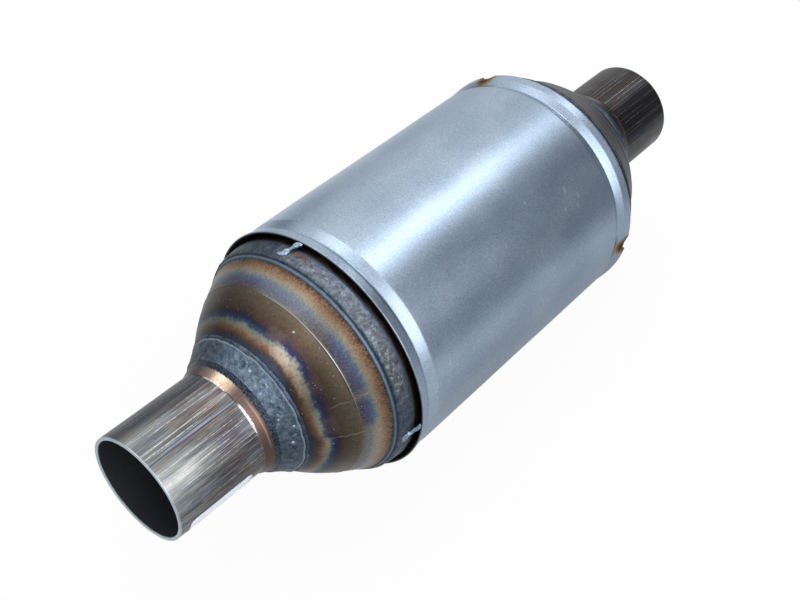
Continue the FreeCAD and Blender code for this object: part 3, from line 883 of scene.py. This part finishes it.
def cone_skin(side):
    """Pressed cap: skirt, conical shoulder, a fine raised crease, then a bowl that bulges like an arc.

    The arc over a chord of span, at its middle BOWL_BULGE high, has the radius
    span^2 / (8 bulge) + bulge / 2.
    """
    span = math.dist((crease_h, crease_r), (throat_end, throat_r))
    bowl_radius = span**2 / (8 * BOWL_BULGE) + BOWL_BULGE / 2

    def profile(h):
        """Radius at h: the skirt, the shoulder's line, then the bowl's chord with the arc's rise on it."""
        slope = (throat_r - crease_r) / (throat_end - crease_h)
        share = np.clip((h - crease_h) / (throat_end - crease_h), 0, 1)
        bulge = np.sqrt(bowl_radius**2 - (span * share - span / 2) ** 2) - (bowl_radius - BOWL_BULGE)
        bowl = crease_r + slope * (h - crease_h) + bulge * math.hypot(1, slope)
        shoulder = skirt_r - (h - corner_h) * SHOULDER_SLOPE
        return np.minimum(np.where(h < crease_h, shoulder, bowl), skirt_r)

    outer_h = np.concatenate([[skirt_end, skirt_end + 4], np.linspace(corner_h - 1, crease_h - 1, 26),
                              np.linspace(crease_h - 0.8, crease_h + 1.4, 14),
                              np.linspace(crease_h + 1.9, throat_end, 34)])
    outer = np.stack([outer_h, profile(outer_h)], -1)
    along = np.gradient(outer, axis=0)
    normal = np.stack([along[:, 1], -along[:, 0]], -1) / np.hypot(*along.T)[:, None]
    inner = (outer + normal * CONE_WALL * np.where(normal[:, 1:] < 0, 1, -1))[::3]
    section = np.concatenate([outer, inner[::-1]])

    def pressed(grid):
        """Height of the crease's ridge and of the press's slight waves."""
        crease = 0.16 * bump_at(grid[..., 0], crease_h + 0.3, 0.38)
        return crease + roughen(in_space(grid), 21, (0.12, 16), (0.03, 4))

    around = ROUND[side]
    piece = add_turned(
        side + "_cone", section, around, SIDES[side], cone_metal(side), pressed)
    mark(piece, "inside", np.repeat(np.arange(len(section)) >= len(outer), around))


def pits(grid, spots):
    """Sum of craters (h, angle, radius, depth): depth times a raised ring's bell less a middle bell."""
    h, r, angle = np.moveaxis(grid, -1, 0)
    total = np.zeros(h.shape)
    for spot_h, spot_angle, radius, depth in spots:
        off = np.hypot(h - spot_h, np.radians(angle_gap(angle, spot_angle)) * r) / radius
        total += depth * (0.55 * np.exp(-((off - 1.15) / 0.35) ** 2) - np.exp(-off**2))
    return total


def pipe_weld_skin(side):
    """Fillet bead round the flare: convex, lumpy, with a rolled edge on the bowl and a few craters."""
    low, high, _ = reach(side + "_pipe_weld")
    # from the toe on the flare over the crown to the rolled edge on the bowl, and back beneath
    section = outline([
        (high + 0.9, pipe_r + 2.8, 0.3), (high - 0.6, pipe_r + 4.0, 1.2), (high - 5.2, pipe_r + 6.9, 14),
        (low + 1.9, pipe_r + 8.95, 2.0), (low + 1.1, pipe_r + 9.7, 0.7),
        (low + 0.1, pipe_r + 9.2, 0.4), (low + 3.5, pipe_r + 5.6, 0.3),
        (high - 3.2, pipe_r + 2.4, 0.3)], step=0.34)
    section = thin_hidden(section)

    def lumpy(grid):
        """Height of grains, ripples and craters above the line that parts the face from its hidden root."""
        h, r, angle = np.moveaxis(grid, -1, 0)
        shown = np.clip((r - (pipe_r + 8.2 - (h - low) * 0.66)) / 1.2, 0, 1)
        points = in_space(grid)
        bowed = 0.8 * np.cos((h - 125) * 0.9) * 3
        ripples = 0.02 * np.sin(np.radians(angle) * BEAD_RIPPLES + bowed + 2 * noise(points, 9, 33))
        grains = roughen(points, 30, (0.26, 5.5), (0.14, 2.2), (0.07, 0.9))
        return shown * (grains + ripples + pits(grid, CRATERS))

    # the outlet's bead is painted darker than the inlet's
    level = 1.0 if side == "inlet" else 0.6
    metal = weld_metal(side + "_pipe_bead", level=level, trail=(low + 0.4, low + 2.0))
    add_turned(side + "_pipe_weld", section, ROUND[side], SIDES[side], metal, lumpy)


def can_weld_skin(side):
    """Bead over the can's edge: a smooth rope at its front, a fine groove, then a rough flat crown."""
    low, high, _ = reach(side + "_can_weld")
    inlet = side == "inlet"
    toe = high - (0 if inlet else OUTLET_BEAD_SHORT)
    toe_r = skirt_r - (toe - corner_h) * SHOULDER_SLOPE
    # from the toe on the cone over the rope, the groove and the crown to the can, and back beneath
    section = outline([
        (toe + 0.1, toe_r - 0.15, 0.1), (toe - 0.05, toe_r + 0.5, 0.45), (toe - 1.1, toe_r + 1.0, 0.5),
        (toe - 1.45, toe_r + 0.75, 0.15), (toe - 2.3, can_r - 0.95, 0.8), (toe - 3.6, can_r - 0.55, 2.0),
        (low + 0.1, can_r + 0.12, 0.1), (low, can_r - 0.2, 0.1),
        (min(corner_h - 0.5, toe - 0.9), skirt_r + 0.1, 0.1)], step=0.36, arc_step=15)
    section = thin_hidden(section)

    def rough(grid):
        """Height of the rope's soft waves and of the crown's lumps, coarser and finer in stretches."""
        h, r, points = grid[..., 0], grid[..., 1], in_space(grid)
        rope = bump_at(h, toe - 0.7, 0.6)
        crown = np.clip((toe - 1.5 - h) / 0.8, 0, 1) * np.clip((h - low - 0.2) / 1.2, 0, 1)
        crown *= np.clip((r - can_r + 1.6) / 0.4, 0, 1)
        front = np.clip((h - toe + 4.6) / 1.5, 0, 1)
        chatter = 0.5 + 0.5 * np.clip(noise(points, 12, 44) * 2, -1, 1)
        grains = roughen(points, 41, (0.20, 4.5), (0.10 + 0.08 * chatter, 1.5), (0.06, 0.7))
        waves = roughen(points, 45, (0.10, 7), (0.03, 2))
        return crown * grains * (0.55 + 0.45 * front) + rope * waves

    # the outlet's can bead is painted much darker than the inlet's
    if inlet:
        metal = weld_metal(side + "_can_bead", (low + 1.8, low + 6.0), level=0.85, rope=toe - 0.6)
    else:
        metal = weld_metal(side + "_can_bead", level=0.4)
    add_turned(side + "_can_weld", section, ROUND_CAN[side], SIDES[side], metal, rough)


def can_skin():
    """Can whose two edges are drawn in under the beads: radius less CAN_DRAWN_IN over the last few mm."""
    edge, start = can_half - 0.5, can_half - 7.5
    outer = [(-edge, can_r - CAN_DRAWN_IN, 0.2), (-start, can_r, 6)]
    inner = [(-start, can_r - 1.4, 0), (-edge, skirt_r + 0.05, 0)]
    mirrored = [[(-h, r, fillet) for h, r, fillet in reversed(half)] for half in (outer, inner)]
    section = outline(outer + mirrored[0] + mirrored[1] + inner, step=6.0)
    add_turned("can", section, 360, 1, can_metal())


# ---------------------------------------------------------------- heat shield
# groove and lip at the inlet's end and the outlet's: distance from the rim, height over the barrel, fillet
LIPS = (((11.6, 0, 3.0), (6.0, -GROOVE_DEPTH, 1.0), (4.3, 0.1, 0.35), (0, LIP_OPENS - 0.1, 0)),
        ((12.4, 0, 3.0), (9.2, -GROOVE_DEPTH, 1.6), (6.9, -0.42, 0.5), (4.7, 0.42, 2.0), (0, LIP_OPENS, 0)))


def sheet_radius(h):
    """Outer radius of the shield at h: barrel, a soft groove, then a lip that opens a little to the rim."""
    radii = []
    for lip in LIPS:
        corners = [(shield_half - back, SHIELD_R + rise, fillet) for back, rise, fillet in lip]
        run = outline([(0, SHIELD_R, 0), *corners], step=0.5, closed=False, arc_step=4.0)
        radii.append(np.interp(np.abs(h), run[:, 0], run[:, 1]))
    return np.where(h < 0, *radii)


def notch_depth(angle):
    """How far the outlet rim is melted back: a round bite of BURN_RADIUS at each outlet tack."""
    depth = np.zeros(angle.shape)
    for middle in TACK_ANGLES["outlet"]:
        across = np.radians(angle_gap(angle, middle)) * lip_r
        bite = np.sqrt(np.maximum(BURN_RADIUS**2 - across**2, 0)) - (BURN_RADIUS - BURN_DEPTH)
        depth = np.maximum(depth, bite)
    return depth


def shield_skin():
    """Rolled sheet: outer and inner faces over (h, sweep), closed at the rims and at both lap edges.

    The sweep runs once round and on over the lap; past the joggle the radius is LAP_RISE larger.
    """
    rim_rows = np.linspace(shield_half - 15, shield_half, 42)
    h = np.concatenate([-rim_rows[::-1], np.linspace(-shield_half + 18, shield_half - 18, 26), rim_rows])
    notch_spans = [np.linspace(-5, 5, 44) + middle for middle in TACK_ANGLES["outlet"]]
    sweep = np.linspace(0, 360 + LAP_ANGLE, 430)
    steps = [np.linspace(360 - LAP_JOGGLE, 360, 12)]
    steps += [(span - LAP_POSITION) % 360 for span in notch_spans]
    sweep = np.unique(np.concatenate([sweep, *steps]).round(4))
    angle = LAP_POSITION + sweep
    lift = LAP_RISE * np.clip((sweep - 360 + LAP_JOGGLE) / LAP_JOGGLE, 0, 1)
    bite = notch_depth(angle)
    share = np.clip((h - (shield_half - 8)) / 8, 0, 1)
    outer = np.empty((len(h), len(sweep), 3))
    outer[..., 0] = h[:, None] - share[:, None] * bite
    outer[..., 1] = sheet_radius(outer[..., 0]) + lift
    outer[..., 2] = angle
    points = in_space(outer)
    fade = 1 - bump_at(sweep[None], 0, 3) - bump_at(sweep[None], 366, 9)
    outer[..., 1] += fade * roughen(points, 51, (0.10, 34), (0.04, 13)) - 0.05
    nicks = np.clip(noise(in_space(outer[-1:]), 2.0, 53)[0] - 0.45, 0, 1) * 0.9
    outer[..., 0] -= share[:, None] * nicks * (bite == 0)
    ragged = 0.25 * noise(points[-1:], 1.3, 54)[0] * (bite > 0)
    outer[..., 0] -= share[:, None] * ragged
    inner = outer[np.unique([*range(0, len(h), 3), len(h) - 1])]
    inner[..., 1] -= SHIELD_SHEET
    for rim in ([0, 1], [-1, -2]):
        outer[rim, :, 1] -= np.array(RIM_ROLL)[:, None]
    loop = np.concatenate([outer, inner[::-1]])
    rows, columns = loop.shape[:2]
    faces = grid_faces(rows, columns, True, False)
    lap_edge = np.arange(rows) * columns
    faces += [lap_edge.tolist(), (lap_edge[::-1] + columns - 1).tolist()]
    metal = shield_metal()
    piece = add_piece("heat_shield_skin", in_space(loop), faces, ["heat_shield"], metal)
    row = np.arange(rows)
    mark(piece, "inside", np.repeat((row >= len(h)) | (row == 0), columns))


# ---------------------------------------------------------------- tacks, stitches and label
def blob(path, across, half_widths, half_heights, rows, columns, seed, rough):
    """Lump along a path: at each row an ellipse of the given half width and height, pinched at both ends.

    path gives the ellipse's middle at the share t from 0 to 1, across the direction of its width, and
    the ends close as sqrt(1 - (2t - 1)^6).
    """
    t = np.linspace(0, 1, rows)
    turn = np.linspace(0, 2 * math.pi, columns, endpoint=False)
    stops = np.linspace(0, 1, len(half_widths))
    close = np.sqrt(np.maximum(1 - np.abs(2 * t - 1) ** 6, 0.0004))
    width = np.interp(t, stops, half_widths) * close
    height = np.interp(t, stops, half_heights) * close
    middle = path(t)
    along = np.gradient(middle, axis=0)
    along /= np.linalg.norm(along, axis=1)[:, None]
    side = np.broadcast_to(across, middle.shape)
    up = np.cross(along, side)
    up /= np.linalg.norm(up, axis=1)[:, None]
    points = (middle[:, None] + width[:, None, None] * np.cos(turn)[None, :, None] * side[:, None]
              + height[:, None, None] * np.sin(turn)[None, :, None] * up[:, None])
    out = points - middle[:, None]
    out /= np.linalg.norm(out, axis=-1)[..., None]
    grains = roughen(points, seed, (1, 1.7), (0.5, 0.8))
    return points + out * (rough * grains * close[:, None])[..., None]


def blob_faces(rows, columns):
    """Quads round a blob, with one face over each end."""
    faces = grid_faces(rows, columns, False, True)
    faces.append(list(range(columns)))
    faces.append([(rows - 1) * columns + i for i in reversed(range(columns))])
    return faces


def tack_skin(side, number, angle, material):
    """Hourglass of weld metal from the bead's crown up to the edge of the lip, slanting at the inlet."""
    rows, columns = 44, 32
    inlet = side == "inlet"
    slant = TACK_SLANT * (0, -1, 1, -1)[number] * inlet
    foot_h = shield_half + TACK_REACH[side]
    head_h = shield_half - (0.0 if inlet else BURN_DEPTH) + 0.1
    foot_r, head_r = can_r + (-0.35 if inlet else -0.3), lip_r - 0.62

    def path(t):
        """Middle of the tack at the share t; r rises as t^1.8 and the angle slides by the slant."""
        h = foot_h + (head_h - foot_h) * t
        r = foot_r + (head_r - foot_r) * t**1.8
        turn = np.radians(angle + slant * (0.5 - t))
        return np.stack([body_x + SIDES[side] * h, -r * np.sin(turn), r * np.cos(turn)], -1)

    turn = math.radians(angle)
    across = np.array([0, -math.cos(turn), -math.sin(turn)])
    # half widths and half heights at even steps from foot to head
    if inlet:
        widths, heights = [2.6, 2.3, 1.3, 0.9, 1.0, 1.7, 3.0], [0.35, 0.8, 1.0, 0.85, 0.8, 0.9, 0.6]
    else:
        widths, heights = [2.2, 2.6, 2.5, 2.6, 2.4], [0.5, 0.8, 0.9, 0.75, 0.5]
    points = blob(path, across, widths, heights, rows, columns, seed=60 + number, rough=0.4 if inlet else 0.2)
    name = f"{side}_shield_tack_{number}"
    add_piece(name + "_bead", points, blob_faces(rows, columns), [name], material)


def stitch_skins(material):
    """Four short rippled beads in the corner along the lap's free edge."""
    rows, columns, count, length = 60, 24, 4, 12.0
    turn = math.radians(LAP_POSITION + LAP_ANGLE + 0.5)
    across = np.array([0, -math.cos(turn), -math.sin(turn)])
    pitch = 2 * shield_half / (count + 1)
    points, faces = [], []
    for i in range(count):
        middle = (i + 1) * pitch - shield_half

        def path(t, middle=middle):
            """Straight line along the lap's edge, length long."""
            x = body_x + middle + (t - 0.5) * length
            r = np.full(t.shape, SHIELD_R + 0.28)
            return np.stack([x, -r * math.sin(turn), r * math.cos(turn)], -1)

        widths, heights = [1.25, 1.4, 1.25], [0.42, 0.5, 0.42]
        bead = blob(path, across, widths, heights, rows, columns, seed=80 + i, rough=0.1)
        faces += [[corner + i * rows * columns for corner in face] for face in blob_faces(rows, columns)]
        points.append(bead.reshape(-1, 3))
    points = np.concatenate(points)
    add_piece("shield_stitch_beads", points, faces, ["shield_stitch_welds"], material)


def label_skin():
    """Blank film round the inlet pipe's underside: a rectangle with round corners, a hair thick.

    Each row across is shortened near the ends of the angle so that its corners follow a circle.
    """
    tip = reach("inlet_pipe")[1]
    near, far_end = tip - 5.2, tip - 38.0
    first, last, corner = 101.5, 168.0, 2.6
    rows, columns = 12, 72
    angle = np.linspace(first, last, columns)
    edge = np.minimum(angle - first, last - angle) * math.pi / 180 * pipe_r
    short = corner - np.sqrt(np.maximum(corner**2 - np.maximum(corner - edge, 0) ** 2, 0))
    share = np.linspace(0, 1, rows)[:, None]
    face = np.empty((rows, columns, 3))
    face[..., 0] = (near - short) + share * ((far_end + short) - (near - short))
    face[..., 2] = angle
    skins = []
    for lift in (0.2, 0.05):
        face[..., 1] = pipe_r + lift
        skins.append(face.copy())
    loop = np.concatenate([skins[0], skins[1][::-1]])
    faces = grid_faces(2 * rows, columns, True, False)
    edge = np.arange(2 * rows) * columns
    faces += [edge.tolist(), (edge[::-1] + columns - 1).tolist()]
    add_piece("blank_label", in_space(loop, -1), faces, [], label_film())


# ---------------------------------------------------------------- all pieces
for side in SIDES:
    pipe_skin(side)
    cone_skin(side)
    pipe_weld_skin(side)
    can_weld_skin(side)
    # tack metal painted lighter at the inlet, three times the plain level, and a little darker at the outlet
    bright = weld_metal(side + "_tack_bead", level=3.0 if side == "inlet" else 0.8, gloss=0.16)
    for number, angle in enumerate(TACK_ANGLES[side], 1):
        tack_skin(side, number, angle, bright)
shield_skin()
stitch_skins(weld_metal("stitch_bead"))
label_skin()
can_skin()
for node, material in (("can_seam_weld", weld_metal("seam_bead")),
                       ("support_mat", fibre()), ("catalyst_brick", ceramic())):
    frame["nodes"][node].data.materials.clear()
    frame["nodes"][node].data.materials.append(material)


# ---------------------------------------------------------------- floor, light and camera
def floor():
    """Pale plane under the part: white to the camera, with a faint shadow, and dimmer in reflections.

    In reflections it darkens towards (1, -0.9), where the room beyond the table is dark.
    """
    low, size = cad_low.z - 0.001, 6.0
    mesh = bpy.data.meshes.new("floor")
    corners = [(-size, -size, low), (size, -size, low), (size, size, low), (-size, size, low)]
    mesh.from_pydata(corners, [], [(0, 1, 2, 3)])
    white = Finish("floor_white")
    start, place = white.start, white.xyz

    def near(spot_x, spot_y, full, none):
        """1 within full metres of a spot on the table, falling to 0 at none."""
        spot = {0: place, 1: (spot_x, spot_y, low)}
        return start.node("VectorMath", {"operation": "DISTANCE"}, spot, output="Value").step(none, full)

    table = mix(near(1.0, -0.9, 0.72, 1.22), (0.66, 0.68, 0.70, 1), (0.10, 0.11, 0.13, 1))
    # a painted bright patch beside the part and a painted shadow under it, seen only in reflections
    table = mix(near(0.12, 0.20, 0.10, 0.22), table, (0.95, 0.97, 1.0, 1))
    table = mix(near(0.06, -0.05, 0.06, 0.15), table, (0.45, 0.46, 0.48, 1))
    camera_ray, glossy_ray = [start.node("LightPath", {}, {}, output="Is " + kind + " Ray")
                              for kind in ("Camera", "Glossy")]
    matt = start.node("BsdfDiffuse", {}, {"Color": (0.80, 0.80, 0.80, 1)})
    glow = start.node("Emission", {}, {"Color": mix(camera_ray, table, (1, 1, 1, 1)), "Strength": 1.0})
    share = camera_ray * 0.95 + glossy_ray * 0.95
    both = start.node("MixShader", {}, {0: share, 1: matt, 2: glow})
    start.node("OutputMaterial", {}, {"Surface": both})
    mesh.materials.append(white.material)
    put("floor", mesh)


def studio_world():
    """White to the camera; for light and reflections a dim room with soft bright and dark zones."""
    world = bpy.data.worlds.new("studio")
    world.use_nodes = True
    bpy.context.scene.world = world
    tree = world.node_tree
    tree.nodes.clear()
    start = Wire(tree)
    look = start.node("TexCoord", {}, {}, output="Generated")
    x, y, z = look.split()

    def zone(direction, full, none):
        """1 within the angle full of a direction, falling to 0 at the angle none, in degrees."""
        unit = tuple(Vector(direction).normalized())
        cosine = start.node("VectorMath", {"operation": "DOT_PRODUCT"}, {0: look, 1: unit}, output="Value")
        return cosine.step(math.cos(math.radians(none)), math.cos(math.radians(full)))

    def ellipse(middle_x, middle_y, half_x, half_y, skew):
        """1 inside a skewed ellipse overhead, falling to 0 at twice its size."""
        across, along = (x - middle_x) / half_x, (y - middle_y - (x - middle_x) * skew) / half_y
        return (across * across + along * along).step(4, 0.6) * z.step(0.1, 0.3)

    level = z.ramp((-1, 0.6), (0.0, 0.6), (0.25, 0.80), (0.7, 0.86), (1, 0.90))
    colour = coats(level, [
        (zone((0.80, -0.56, 0.16), 25, 49), (0.085, 0.09, 0.105, 1)),
        (zone((-0.06, -0.87, 0.48), 20, 40), (2.25, 2.25, 2.25, 1)),
        (zone((0.33, 0.93, 0.14), 8, 17), (0.18, 0.2, 0.22, 1)),
        (zone((0.17, 0.33, 0.92), 10, 20), (2.1, 2.15, 2.2, 1)),
        (ellipse(0.53, -0.08, 0.11, 0.07, 0.5), (4.2, 4.3, 4.4, 1)),
        (start.node("LightPath", {}, {}, output="Is Camera Ray"), (1, 1, 1, 1))])
    background = start.node("Background", {}, {"Color": colour, "Strength": 1.0})
    start.node("OutputWorld", {}, {"Surface": background})


def put_facing(name, data, place, direction):
    """New object at a place, in metres, that faces a direction with its top up."""
    made = put(name, data)
    made.location = place
    made.rotation_euler = direction.to_track_quat("-Z", "Y").to_euler()
    return made


def softbox(name, place, size, power):
    """Rectangular lamp at a place, in metres, facing the part."""
    lamp = bpy.data.lights.new(name, "AREA")
    lamp.shape = "RECTANGLE"
    lamp.size, lamp.size_y = size
    lamp.energy = power
    put_facing(name, lamp, place, -Vector(place))


def camera():
    """Looks down on the inlet end from its left, a little off the middle."""
    azimuth, elevation, distance = math.radians(-49.94), math.radians(42.31), 0.55
    aim = Vector((-0.0197, -0.0002, -0.0084))
    back = Vector((math.sin(azimuth) * math.cos(elevation), -math.cos(azimuth) * math.cos(elevation),
                      math.sin(elevation)))
    lens = bpy.data.cameras.new("camera")
    lens.lens, lens.sensor_width = 52.41, 36.0
    lens.clip_start, lens.clip_end = 0.01, 50
    bpy.context.scene.camera = put_facing("camera", lens, aim + back * distance, -back)


floor()
studio_world()
softbox("top_softbox", (0.82, -0.1, 1.15), size=(0.5, 0.3), power=0.5)
camera()
bpy.context.scene.view_settings.view_transform = "Standard"
